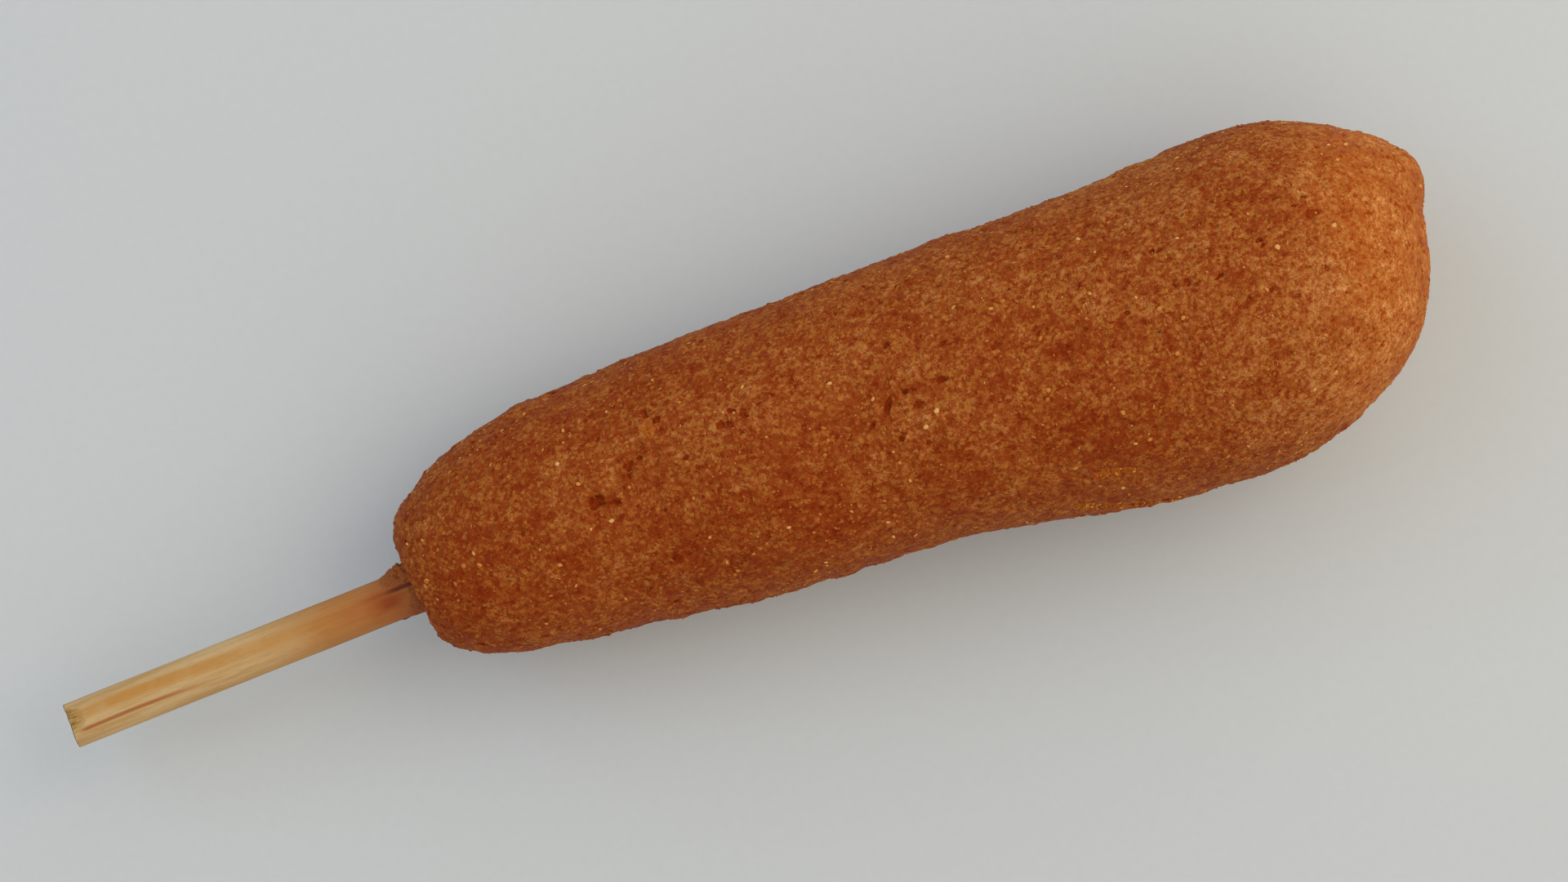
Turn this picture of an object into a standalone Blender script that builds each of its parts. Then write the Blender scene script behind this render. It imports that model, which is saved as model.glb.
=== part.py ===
"""A corn dog lying on its side: a frankfurter fried in cornmeal batter, on a round wooden stick.

It has two separate pieces: the batter, which hides the frankfurter, and the stick.
+X runs from the stick's free end to the food's fat tip and +Z is up. The origin is the middle of
the bounding box's underside, which is the surface that the corn dog lies on. Units are metres.

The pieces are modelled in working coordinates, where x is 0 at the batter's stick end, y is 0 on the
stick's axis and z is 0 on the surface below. An empty then carries them to the origin.
"""

import math

import bmesh
import bpy
from mathutils import Matrix, Vector, noise

MM = 0.001

# Driving sizes
FOOD_LENGTH = 128.8 * MM
STICK_DIAMETER = 5.5 * MM
STICK_LENGTH = 140 * MM  # 5 1/2 inches, the usual stick
STICK_SHOWS = 44.3 * MM  # what stands out of the batter
STICK_RISE = math.radians(3.0)  # the stick climbs towards the fat end, as the food does
FITTING_GAP = 0.3 * MM  # between the stick and the batter round it

# The batter's girth: (distance from the stick end, radius, sideways sway of the centre line)
GIRTHS = (
    (0.0 * MM, 14.4 * MM, 0.9 * MM),
    (15.0 * MM, 14.5 * MM, 1.1 * MM),
    (28.0 * MM, 15.1 * MM, 0.8 * MM),
    (44.0 * MM, 16.4 * MM, -0.5 * MM),
    (58.5 * MM, 16.8 * MM, -1.1 * MM),
    (73.0 * MM, 17.8 * MM, -2.2 * MM),
    (87.5 * MM, 18.9 * MM, -4.2 * MM),
    (101.5 * MM, 19.8 * MM, -4.6 * MM),
    (120.0 * MM, 19.7 * MM, -2.6 * MM),
    (FOOD_LENGTH, 19.6 * MM, 1.4 * MM),
)

# How the two ends close: over this length, as the superellipse (1 - (1 - d)^fall)^(1 / fullness)
STICK_END_LENGTH, STICK_END_FALL, STICK_END_FULLNESS = 22 * MM, 1.7, 3.5
TIP_LENGTH, TIP_FALL, TIP_FULLNESS = 30 * MM, 2.8, 1.5

LUMP_SIZE = 13 * MM  # the batter's unevenness: the size of a swelling, and how far it stands out
LUMP_HEIGHT = 0.45 * MM

# The underside: pressed flat where it bears its weight, and arched a little between
FLAT_DEPTH = 0.5 * MM
ARCH_RISE, ARCH_MIDDLE, ARCH_REACH = 0.8 * MM, 62 * MM, 24 * MM

# The lip of batter that has crept along the stick, furthest and thickest on its +Y side
LIP_LENGTH = 2.8 * MM
LIP_SHORTEST = 0.7 * MM
LIP_RADIUS = 3.6 * MM
LIP_ROOT_RADIUS = 4.5 * MM
LIP_ROOT_DEPTH = 2.0 * MM
LIP_SHIFT = 0.2 * MM

# The stick's free end: sawn square, with its upper half chipped back
CHIP_LENGTH = 2.3 * MM
CHIP_FOOT = 0.2 * MM  # how far above the stick's axis the chip starts
SAW_SPARE = 1 * MM  # what the saw takes off
BURIED_CHAMFER = 1.2 * MM  # at the end inside the food

BATTER_SEGMENTS, BATTER_RINGS = 48, 56
ROUND_SEGMENTS = 32
SHARP_ANGLE = math.radians(40)

BATTER_BROWN = (0.27, 0.062, 0.012, 1.0)
BATTER_ROUGHNESS = 0.55
WOOD_TAN = (0.48, 0.30, 0.13, 1.0)
WOOD_ROUGHNESS = 0.6


def clear_scene():
    """Removes whatever the scene holds."""
    for thing in list(bpy.data.objects):
        bpy.data.objects.remove(thing, do_unlink=True)


def new_collection(name):
    """A collection in the scene."""
    collection = bpy.data.collections.new(name)
    bpy.context.scene.collection.children.link(collection)
    return collection


def new_material(name, colour, roughness):
    """A plain finish that is not a metal."""
    material = bpy.data.materials.new(name)
    material.use_nodes = True
    shader = material.node_tree.nodes["Principled BSDF"]
    shader.inputs["Base Color"].default_value = colour
    shader.inputs["Roughness"].default_value = roughness
    shader.inputs["Metallic"].default_value = 0.0
    return material


def new_object(name, bm, collection, material=None):
    """Turns a bmesh into a smooth-shaded object in the collection."""
    bmesh.ops.recalc_face_normals(bm, faces=bm.faces)
    mesh = bpy.data.meshes.new(name)
    bm.to_mesh(mesh)
    bm.free()
    mesh.shade_smooth()
    mesh.set_sharp_from_angle(angle=SHARP_ANGLE)
    if material:
        mesh.materials.append(material)
    thing = bpy.data.objects.new(name, mesh)
    collection.objects.link(thing)
    return thing


def read_girths(along, column):
    """A column of GIRTHS at a distance along the food, on a smooth curve through its rows."""
    last = len(GIRTHS) - 1
    i = next((k for k in range(last) if along <= GIRTHS[k + 1][0]), last - 1)
    start, end = GIRTHS[i], GIRTHS[i + 1]
    before, after = GIRTHS[max(i - 1, 0)], GIRTHS[min(i + 2, last)]
    span = end[0] - start[0]
    share = (along - start[0]) / span
    slope_in = (end[column] - before[column]) / (end[0] - before[0]) * span
    slope_out = (after[column] - start[column]) / (after[0] - start[0]) * span
    square, cube = share**2, share**3
    return (
        (2 * cube - 3 * square + 1) * start[column]
        + (cube - 2 * square + share) * slope_in
        + (3 * square - 2 * cube) * end[column]
        + (cube - square) * slope_out
    )


def closing(distance, length, fall, fullness):
    """How much of its full girth the food has at this distance from an end."""
    if distance >= length:
        return 1.0
    return (1 - (1 - distance / length) ** fall) ** (1 / fullness)


def centre_height(along):
    """The height of the food's centre line, whose arch lifts the underside between its two rests."""
    arch = ARCH_RISE * math.exp(-(((along - ARCH_MIDDLE) / ARCH_REACH) ** 2))
    return read_girths(along, 1) - FLAT_DEPTH + arch


def batter_point(polar, turn):
    """The batter's surface point for a sphere's polar angle from the stick end and angle of turn."""
    along = FOOD_LENGTH * (1 - math.cos(polar)) / 2
    radius = (
        read_girths(along, 1)
        * closing(along, STICK_END_LENGTH, STICK_END_FALL, STICK_END_FULLNESS)
        * closing(FOOD_LENGTH - along, TIP_LENGTH, TIP_FALL, TIP_FULLNESS)
    )
    centre = Vector((along, read_girths(along, 2), centre_height(along)))
    outwards = Vector((0, math.cos(turn), math.sin(turn)))
    swelling = noise.noise((centre + outwards * radius) / LUMP_SIZE) * LUMP_HEIGHT
    point = centre + outwards * (radius + swelling * math.sin(polar))
    point.z = max(point.z, 0.0)
    return point


def stick_frame():
    """The frame whose +Z runs along the stick into the food and whose +X points down.

    Its origin is where the stick enters the batter.
    """
    entry = Vector((0, 0, centre_height(0.0)))
    return Matrix.Translation(entry) @ Matrix.Rotation(math.radians(90) - STICK_RISE, 4, "Y")


def add_cone(bm, start, end, start_radius, end_radius):
    """Adds a capped round bar between two distances along the stick and returns its vertices."""
    return bmesh.ops.create_cone(
        bm,
        cap_ends=True,
        segments=ROUND_SEGMENTS,
        radius1=start_radius,
        radius2=end_radius,
        depth=end - start,
        matrix=stick_frame() @ Matrix.Translation((0, 0, (start + end) / 2)),
    )["verts"]


def saw_off(bm, point, outwards):
    """Saws off what lies on the outer side of a plane, given in the stick's frame, and caps it."""
    frame = stick_frame()
    cut = bmesh.ops.bisect_plane(
        bm,
        geom=bm.verts[:] + bm.edges[:] + bm.faces[:],
        plane_co=frame @ point,
        plane_no=frame.to_3x3() @ outwards,
        clear_outer=True,
    )
    rim = [item for item in cut["geom_cut"] if isinstance(item, bmesh.types.BMEdge)]
    bmesh.ops.contextual_create(bm, geom=rim)


def build_batter_body(collection, material):
    """The fried batter, as a sphere drawn out to the food's girths."""
    bm = bmesh.new()
    bmesh.ops.create_uvsphere(
        bm, u_segments=BATTER_SEGMENTS, v_segments=BATTER_RINGS, radius=1.0
    )
    for vertex in bm.verts:
        polar = math.acos(max(-1.0, min(1.0, -vertex.co.z)))
        turn = math.atan2(vertex.co.y, vertex.co.x)
        vertex.co = batter_point(polar, turn)
    return new_object("batter", bm, collection, material)


def build_lip(collection):
    """The lip of batter round the stick, as a helper that is joined to the batter."""
    bm = bmesh.new()
    ring = add_cone(bm, -LIP_LENGTH, LIP_ROOT_DEPTH, LIP_RADIUS, LIP_ROOT_RADIUS)
    frame = stick_frame()
    for vertex in ring:
        local = frame.inverted() @ vertex.co
        if local.z < 0:
            towards_side = (1 + local.y / LIP_RADIUS) / 2
            local.z = -LIP_SHORTEST - (LIP_LENGTH - LIP_SHORTEST) * towards_side**2
        local.y += LIP_SHIFT
        vertex.co = frame @ local
    return new_object("lip_helper", bm, collection)


def build_socket(collection):
    """The round hole that the stick fills, with the fitting gap all round it."""
    bm = bmesh.new()
    radius = STICK_DIAMETER / 2 + FITTING_GAP
    buried = STICK_LENGTH - STICK_SHOWS
    add_cone(bm, -STICK_SHOWS, buried + FITTING_GAP, radius, radius)
    return new_object("socket_cutter", bm, collection)


def build_stick(collection, material):
    """The round stick, chamfered at its buried end, with its free end sawn square and chipped."""
    bm = bmesh.new()
    radius = STICK_DIAMETER / 2
    buried = STICK_LENGTH - STICK_SHOWS
    add_cone(bm, -STICK_SHOWS - SAW_SPARE, buried, radius, radius)
    to_stick = stick_frame().inverted()
    buried_rim = [
        edge for edge in bm.edges if all((to_stick @ v.co).z > buried - MM for v in edge.verts)
    ]
    bmesh.ops.bevel(
        bm,
        geom=buried_rim,
        offset=BURIED_CHAMFER,
        segments=1,
        profile=0.5,
        affect="EDGES",
        material=-1,
    )
    saw_off(bm, Vector((0, 0, -STICK_SHOWS)), Vector((0, 0, -1)))
    chip_rise = radius - CHIP_FOOT
    chip_outwards = Vector((-CHIP_LENGTH, 0, -chip_rise)).normalized()
    saw_off(bm, Vector((-CHIP_FOOT, 0, -STICK_SHOWS)), chip_outwards)
    return new_object("stick", bm, collection, material)


def add_boolean(thing, operand, operation):
    """Joins or cuts a piece with a helper, exactly."""
    modifier = thing.modifiers.new(operation.title(), "BOOLEAN")
    modifier.object = operand
    modifier.operation = operation
    modifier.solver = "EXACT"


def hide_helper(helper):
    """Keeps a helper out of the finished object."""
    helper.hide_render = True
    helper.display_type = "WIRE"


def add_carrier(pieces):
    """An empty that carries the pieces' box so that the middle of its underside is the origin."""
    bpy.context.view_layer.update()
    graph = bpy.context.evaluated_depsgraph_get()
    corners = []
    for piece in pieces:
        shape = piece.evaluated_get(graph)
        corners += [shape.matrix_world @ vertex.co for vertex in shape.data.vertices]
    low = Vector([min(corner[axis] for corner in corners) for axis in range(3)])
    high = Vector([max(corner[axis] for corner in corners) for axis in range(3)])
    carrier = bpy.data.objects.new("corn_dog_origin", None)
    bpy.context.scene.collection.objects.link(carrier)
    carrier.location = (-(low.x + high.x) / 2, -(low.y + high.y) / 2, -low.z)
    return carrier


def main():
    """Builds the corn dog."""
    clear_scene()
    food = new_collection("corn_dog")
    helpers = new_collection("corn_dog_helpers")
    batter = build_batter_body(food, new_material("batter", BATTER_BROWN, BATTER_ROUGHNESS))
    stick = build_stick(food, new_material("stick", WOOD_TAN, WOOD_ROUGHNESS))
    lip = build_lip(helpers)
    socket = build_socket(helpers)
    add_boolean(batter, lip, "UNION")
    add_boolean(batter, socket, "DIFFERENCE")
    hide_helper(lip)
    hide_helper(socket)
    carrier = add_carrier([batter, stick])
    for thing in (batter, stick, lip, socket):
        thing.parent = carrier


main()
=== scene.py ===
"""The looks of a corn dog: browned cornmeal batter on a plain wooden stick.

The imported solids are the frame. Every piece below is modelled from them with bmesh, finished with
node-based materials, and rides on the one body. Units are metres, +X runs from the stick's free end
to the food's fat tip, and +Z is up.
"""

import logging
import math
import random
from collections import Counter
from dataclasses import dataclass
from enum import Enum

import bmesh
import bpy
from mathutils import Matrix, Vector, noise
from mathutils.bvhtree import BVHTree
from mathutils.kdtree import KDTree


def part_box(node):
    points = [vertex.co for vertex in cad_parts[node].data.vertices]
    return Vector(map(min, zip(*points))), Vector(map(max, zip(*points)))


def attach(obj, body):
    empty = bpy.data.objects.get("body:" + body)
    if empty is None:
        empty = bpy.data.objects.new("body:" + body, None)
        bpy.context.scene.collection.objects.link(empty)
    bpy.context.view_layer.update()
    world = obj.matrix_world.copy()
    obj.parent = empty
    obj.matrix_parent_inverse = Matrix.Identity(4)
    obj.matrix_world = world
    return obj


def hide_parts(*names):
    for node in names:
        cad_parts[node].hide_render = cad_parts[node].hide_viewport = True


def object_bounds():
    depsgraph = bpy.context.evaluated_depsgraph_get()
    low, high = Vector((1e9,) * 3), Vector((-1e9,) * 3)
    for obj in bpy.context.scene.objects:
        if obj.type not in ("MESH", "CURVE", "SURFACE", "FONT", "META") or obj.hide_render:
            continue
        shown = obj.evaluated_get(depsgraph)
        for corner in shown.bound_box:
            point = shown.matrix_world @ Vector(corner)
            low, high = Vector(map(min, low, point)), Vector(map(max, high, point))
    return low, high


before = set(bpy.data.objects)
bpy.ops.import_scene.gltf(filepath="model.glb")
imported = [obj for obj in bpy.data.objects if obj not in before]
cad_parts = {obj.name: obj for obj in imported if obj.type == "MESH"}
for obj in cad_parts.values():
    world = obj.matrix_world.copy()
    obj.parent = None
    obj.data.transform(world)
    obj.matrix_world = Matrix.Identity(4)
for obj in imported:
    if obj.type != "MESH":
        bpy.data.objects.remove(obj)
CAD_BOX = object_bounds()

LOG = logging.getLogger("corn_dog")

MM = 0.001
BODY = "root"
DOWN = Vector((0, 0, -1))
Colour = tuple[float, float, float, float]
Socket = bpy.types.NodeSocket


def display_colour(red: int, green: int, blue: int) -> Colour:
    """Turns a colour as a screen shows it, 0 to 255, into the linear one that shaders take.

    Args:
        red: The screen's red.
        green: The screen's green.
        blue: The screen's blue.

    Returns:
        The linear colour, with full alpha.
    """

    def linear(level: int) -> float:
        """One channel of the colour, made linear."""
        share = level / 255
        return share / 12.92 if share <= 0.04045 else ((share + 0.055) / 1.055) ** 2.4

    return (linear(red), linear(green), linear(blue), 1.0)


def smooth_step(value: float, low: float, high: float) -> float:
    """Rises smoothly from 0 at low to 1 at high."""
    share = min(1.0, max(0.0, (value - low) / (high - low)))
    return share * share * (3 - 2 * share)


def wobble(point: Vector, size: float, seed: float = 0.0) -> float:
    """Smooth noise from about -1 to 1.

    Args:
        point: Where it is read, in metres.
        size: The size of one bump, in metres.
        seed: Shifts the pattern, so that two layers don't repeat each other.

    Returns:
        The noise at the point.
    """
    shift = Vector((seed * 17.3, seed * -9.1, seed * 5.7))
    return noise.noise(point / size + shift)


class FinishGraph:
    """A node-based material being made, with one short call for each kind of node."""

    def __init__(self, name: str) -> None:
        """Starts the material with its one Principled shader.

        Args:
            name: The material's name.
        """
        self.material = bpy.data.materials.new(name)
        self.material.use_nodes = True
        self.tree = self.material.node_tree
        self.shader = self.tree.nodes["Principled BSDF"]
        self.place = self.tree.nodes.new("ShaderNodeTexCoord").outputs["Object"]

    def feed(self, socket: Socket, value: object) -> None:
        """Links a socket's value to it, or sets a plain one."""
        if isinstance(value, Socket):
            self.tree.links.new(value, socket)
        else:
            socket.default_value = value

    def node(self, kind: str, inputs: dict, **settings: object) -> bpy.types.Node:
        """Adds a node.

        Args:
            kind: The node's type.
            inputs: What each input takes, by its name or number.
            **settings: The node's own properties.

        Returns:
            The new node.
        """
        made = self.tree.nodes.new(kind)
        for setting, value in settings.items():
            setattr(made, setting, value)
        for key, value in inputs.items():
            self.feed(made.inputs[key], value)
        return made

    def local(self, origin: Vector, turn: Matrix, stretch: Vector) -> Socket:
        """The place in a turned and stretched frame of its own.

        Args:
            origin: The frame's origin.
            turn: The frame's rotation.
            stretch: How many times longer a pattern becomes along each of the frame's axes.

        Returns:
            The coordinates' socket.
        """
        inputs = {
            "Vector": self.place,
            "Location": origin,
            "Rotation": turn.to_euler(),
            "Scale": stretch,
        }
        return self.node("ShaderNodeMapping", inputs, vector_type="TEXTURE").outputs[0]

    def grain(
        self,
        size: float,
        detail: float = 2.0,
        roughness: float = 0.5,
        place: Socket | None = None,
        distortion: float = 0.0,
    ) -> Socket:
        """Cloudy noise round one half.

        Args:
            size: The size of one cloud, in metres.
            detail: How many finer layers it has.
            roughness: How strong the finer layers are.
            place: Where it is read, or None for the plain place.
            distortion: How much the clouds are pulled about.

        Returns:
            The noise's socket, from 0 to 1.
        """
        inputs = {
            "Vector": place or self.place,
            "Scale": 1 / size,
            "Detail": detail,
            "Roughness": roughness,
            "Distortion": distortion,
        }
        return self.node("ShaderNodeTexNoise", inputs).outputs[0]

    def cells(self, size: float, place: Socket | None = None) -> bpy.types.Node:
        """Scattered points, as a Voronoi node whose Distance and Color are read."""
        inputs = {"Vector": place or self.place, "Scale": 1 / size, "Randomness": 1.0}
        return self.node("ShaderNodeTexVoronoi", inputs)

    def mark(self, name: str) -> Socket:
        """A number that the mesh carries at its vertices."""
        made = self.node("ShaderNodeAttribute", {}, attribute_name=name)
        return made.outputs["Fac"]

    def band(self, value: Socket, low: float, high: float) -> Socket:
        """A smooth rise from 0 at low to 1 at high, or a fall where low is above high."""
        inputs = {"Value": value, "From Min": low, "From Max": high}
        made = self.node("ShaderNodeMapRange", inputs, interpolation_type="SMOOTHSTEP")
        return made.outputs[0]

    def spread(self, value: Socket, low: float, high: float) -> Socket:
        """Turns 0 to 1 into low to high."""
        inputs = {"Value": value, "To Min": low, "To Max": high}
        return self.node("ShaderNodeMapRange", inputs).outputs[0]

    def sum(self, *terms: Socket | float) -> Socket:
        """The sum of two or more terms."""
        total = terms[0]
        for term in terms[1:]:
            total = self.node("ShaderNodeMath", {0: total, 1: term}, operation="ADD").outputs[0]
        return total

    def times(self, *terms: Socket | float) -> Socket:
        """The product of two or more terms."""
        total = terms[0]
        for term in terms[1:]:
            made = self.node("ShaderNodeMath", {0: total, 1: term}, operation="MULTIPLY")
            total = made.outputs[0]
        return total

    def blend(self, factor: Socket | float, first: Socket | Colour, second: Socket | Colour) -> Socket:
        """The first colour where the factor is 0 and the second where it is 1."""
        inputs = {0: factor, 6: first, 7: second}
        return self.node("ShaderNodeMix", inputs, data_type="RGBA").outputs[2]

    def ramp(self, value: Socket, tones: tuple[Colour, ...]) -> Socket:
        """Runs through evenly spaced tones as the value goes from 0 to 1."""
        made = self.node("ShaderNodeValToRGB", {0: value})
        stops = made.color_ramp.elements
        while len(stops) < len(tones):
            stops.new(0.5)
        for index, tone in enumerate(tones):
            stops[index].position = index / (len(tones) - 1)
            stops[index].color = tone
        return made.outputs[0]

    def largest(self, first: Socket, second: Socket) -> Socket:
        """The larger of two values."""
        return self.node("ShaderNodeMath", {0: first, 1: second}, operation="MAXIMUM").outputs[0]

    def away(self, value: Socket, middle: float) -> Socket:
        """How far a value is from a middle one, either way."""
        off = self.node("ShaderNodeMath", {0: value, 1: middle}, operation="SUBTRACT").outputs[0]
        return self.node("ShaderNodeMath", {0: off}, operation="ABSOLUTE").outputs[0]

    def swing(self, noise: Socket, reach: float) -> Socket:
        """Noise moved to swing round zero, by its reach either way."""
        return self.times(self.sum(noise, -0.5), 2 * reach)

    def axes(self, place: Socket) -> list[Socket]:
        """The three coordinates of a place, each as a socket."""
        return list(self.node("ShaderNodeSeparateXYZ", {0: place}).outputs)

    def relief(self, height_mm: Socket) -> None:
        """Gives the shader fine relief from a height in millimetres."""
        inputs = {"Height": height_mm, "Distance": MM, "Strength": 1.0}
        made = self.node("ShaderNodeBump", inputs)
        self.feed(self.shader.inputs["Normal"], made.outputs[0])

    def set(self, **values: object) -> None:
        """Sets or links the shader's inputs, whose spaces are written as underscores."""
        for name, value in values.items():
            self.feed(self.shader.inputs[name.replace("_", " ")], value)


@dataclass(frozen=True)
class CrustFinish:
    """Fried cornmeal batter: oil-soaked rust brown under a dry tan lace of crumbs."""

    body_tones: tuple[Colour, ...] = (
        display_colour(118, 34, 0),
        display_colour(132, 50, 7),
        display_colour(145, 68, 21),
        display_colour(162, 91, 42),
        display_colour(188, 124, 72),
    )
    tip_tones: tuple[Colour, ...] = (
        display_colour(138, 48, 2),
        display_colour(160, 74, 18),
        display_colour(177, 100, 42),
        display_colour(200, 128, 68),
        display_colour(226, 166, 106),
    )
    grit: Colour = display_colour(184, 124, 54)
    corn: Colour = display_colour(164, 104, 34)
    pit: Colour = display_colour(120, 32, 0)
    pit_floor: Colour = display_colour(140, 46, 2)
    tip_pit: Colour = display_colour(160, 58, 10)
    speck: Colour = display_colour(74, 26, 12)
    golden: Colour = display_colour(178, 94, 20)

    def build(self) -> bpy.types.Material:
        """Makes the material."""
        graph = FinishGraph("fried_batter")
        cloud = graph.grain(3.0 * MM, 3.0, 0.7)
        lace = graph.grain(0.85 * MM, 4.0, 0.92, distortion=0.1)
        crumb = graph.grain(0.22 * MM, 2.0, 0.8)
        base = graph.sum(graph.mark("dryness"), graph.swing(cloud, 0.34))
        crumbly = graph.spread(graph.band(base, 0.36, 0.58), 0.4, 1.15)
        soaked = graph.band(graph.grain(1.1 * MM, 2.0, 0.6, distortion=0.4), 0.56, 0.66)
        granules = graph.axes(graph.cells(0.42 * MM).outputs["Color"])[0]
        flecks = graph.sum(
            self._flecks(graph, 0.40 * MM, (1.0, 2.2, 1.0), crumb),
            self._flecks(graph, 0.36 * MM, (2.2, 1.0, 1.0), crumb),
        )
        dryness = graph.sum(
            base,
            graph.times(graph.swing(lace, 1.0), crumbly),
            graph.times(flecks, crumbly, 0.18),
            graph.swing(granules, 0.15),
            graph.times(soaked, -0.20),
            graph.swing(crumb, 0.33),
            -0.03,
        )
        colour = graph.blend(
            graph.mark("tip"),
            graph.ramp(dryness, self.body_tones),
            graph.ramp(dryness, self.tip_tones),
        )
        corny = graph.times(graph.band(granules, 0.55, 0.85), graph.band(dryness, 0.3, 0.6), 0.4)
        colour = graph.blend(corny, colour, self.corn)
        for size, share in ((1.25 * MM, 0.35), (0.6 * MM, 0.5)):
            grits = graph.times(self._grits(graph, crumb, size), share)
            colour = graph.blend(grits, colour, self.grit)
        colour = graph.blend(graph.times(self._specks(graph, crumb), 0.6), colour, self.speck)
        golden = graph.mark("golden")
        golden = graph.times(golden, graph.spread(graph.band(lace, 0.4, 0.56), 0.4, 1.0))
        colour = graph.blend(golden, colour, self.golden)

        tiny = self._tiny_pits(graph, crumb)
        ragged = graph.sum(graph.mark("pit"), graph.swing(crumb, 0.35))
        burst = graph.band(ragged, 0.42, 0.48)
        pits = graph.largest(burst, tiny)
        pit_colour = graph.blend(graph.band(lace, 0.4, 0.6), self.pit, self.pit_floor)
        pit_colour = graph.blend(graph.mark("tip"), pit_colour, self.tip_pit)
        colour = graph.blend(graph.times(pits, 0.85), colour, pit_colour)

        graph.set(
            Base_Color=colour,
            Roughness=graph.spread(graph.band(dryness, 0.3, 0.6), 0.42, 0.75),
            Specular_IOR_Level=0.05,
            Subsurface_Weight=0.08,
            Subsurface_Radius=(1.0, 0.35, 0.12),
            Subsurface_Scale=0.4 * MM,
        )
        graph.relief(
            graph.sum(
                graph.times(lace, 0.16),
                graph.times(flecks, 0.03),
                graph.times(crumb, 0.07),
                graph.times(tiny, -0.12),
            )
        )
        return graph.material

    def _flecks(
        self,
        graph: FinishGraph,
        size: float,
        stretch: tuple[float, float, float],
        crumb: Socket,
    ) -> Socket:
        """Small pale crumbs that are longer than they are wide.

        Args:
            graph: The material being made.
            size: How far apart they lie.
            stretch: How many times longer they are along each axis.
            crumb: Fine noise that frays them.

        Returns:
            1 on a crumb and 0 between them.
        """
        drawn = graph.local(Vector((0, 0, 0)), Matrix.Rotation(0.6, 3, (1, 1, 1)), Vector(stretch))
        cells = graph.cells(size, drawn)
        near = graph.sum(cells.outputs["Distance"], graph.swing(crumb, 0.12))
        chosen = graph.band(graph.axes(cells.outputs["Color"])[1], 0.45, 0.75)
        return graph.times(graph.band(near, 0.42, 0.12), chosen)

    def _grits(self, graph: FinishGraph, crumb: Socket, size: float) -> Socket:
        """Soft pale spots of cornmeal under the film of batter, about a size apart."""
        cells = graph.cells(size)
        draws = graph.axes(cells.outputs["Color"])
        radius = graph.times(draws[0], draws[0], 0.20)
        near = graph.sum(cells.outputs["Distance"], graph.swing(crumb, 0.16), -0.10)
        within = graph.node("ShaderNodeMath", {0: near, 1: radius}, operation="SUBTRACT")
        return graph.times(
            graph.band(within.outputs[0], 0.07, -0.06), graph.band(draws[1], 0.45, 0.8)
        )

    def _specks(self, graph: FinishGraph, crumb: Socket) -> Socket:
        """Tiny scorched specks."""
        cells = graph.cells(2.4 * MM)
        draws = graph.axes(cells.outputs["Color"])
        near = graph.sum(cells.outputs["Distance"], graph.swing(crumb, 0.07))
        return graph.times(graph.band(near, 0.085, 0.05), graph.band(draws[0], 0.45, 0.5))

    def _tiny_pits(self, graph: FinishGraph, crumb: Socket) -> Socket:
        """Pinprick holes in the dry crust."""
        pulled = graph.grain(0.7 * MM, 2.0, 0.6)
        cells = graph.cells(1.9 * MM)
        draws = graph.axes(cells.outputs["Color"])
        near = graph.sum(
            cells.outputs["Distance"], graph.swing(pulled, 0.22), graph.swing(crumb, 0.10)
        )
        return graph.times(graph.band(near, 0.14, 0.11), graph.band(draws[2], 0.50, 0.54))


@dataclass(frozen=True)
class GrainFinish:
    """Coarse cornmeal: grains from corn yellow to cream, with a film of batter round their feet."""

    name: str = "coarse_cornmeal"
    filmed: Colour = display_colour(160, 88, 30)
    amber: Colour = display_colour(184, 116, 48)
    yellow: Colour = display_colour(202, 140, 64)
    cream: Colour = display_colour(210, 160, 96)

    def build(self) -> bpy.types.Material:
        """Makes the material, whose colour follows each grain's own tone."""
        graph = FinishGraph(self.name)
        cloud = graph.grain(0.3 * MM, 2.0, 0.6)
        colour = graph.ramp(graph.mark("tone"), (self.filmed, self.amber, self.yellow, self.cream))
        bared = graph.band(graph.sum(graph.mark("bare"), graph.swing(cloud, 0.6)), 0.1, 0.8)
        colour = graph.blend(bared, self.filmed, colour)
        graph.set(
            Base_Color=colour,
            Roughness=0.6,
            Specular_IOR_Level=0.08,
            Subsurface_Weight=0.2,
            Subsurface_Radius=(1.0, 0.6, 0.3),
            Subsurface_Scale=0.3 * MM,
        )
        graph.relief(graph.times(cloud, 0.04))
        return graph.material


GOLDEN_FLAKES = GrainFinish(
    "golden_flakes",
    filmed=display_colour(158, 78, 24),
    amber=display_colour(182, 106, 44),
    yellow=display_colour(206, 140, 58),
    cream=display_colour(228, 180, 104),
)


@dataclass(frozen=True)
class SpeckFinish:
    """Scorched bits of batter, near black-brown."""

    dark: Colour = display_colour(48, 18, 10)
    brown: Colour = display_colour(96, 34, 14)

    def build(self) -> bpy.types.Material:
        """Makes the material."""
        graph = FinishGraph("scorched_batter")
        cloud = graph.grain(0.3 * MM, 2.0, 0.6)
        graph.set(Base_Color=graph.blend(cloud, self.dark, self.brown), Roughness=0.55)
        graph.relief(graph.times(cloud, 0.06))
        return graph.material


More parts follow.
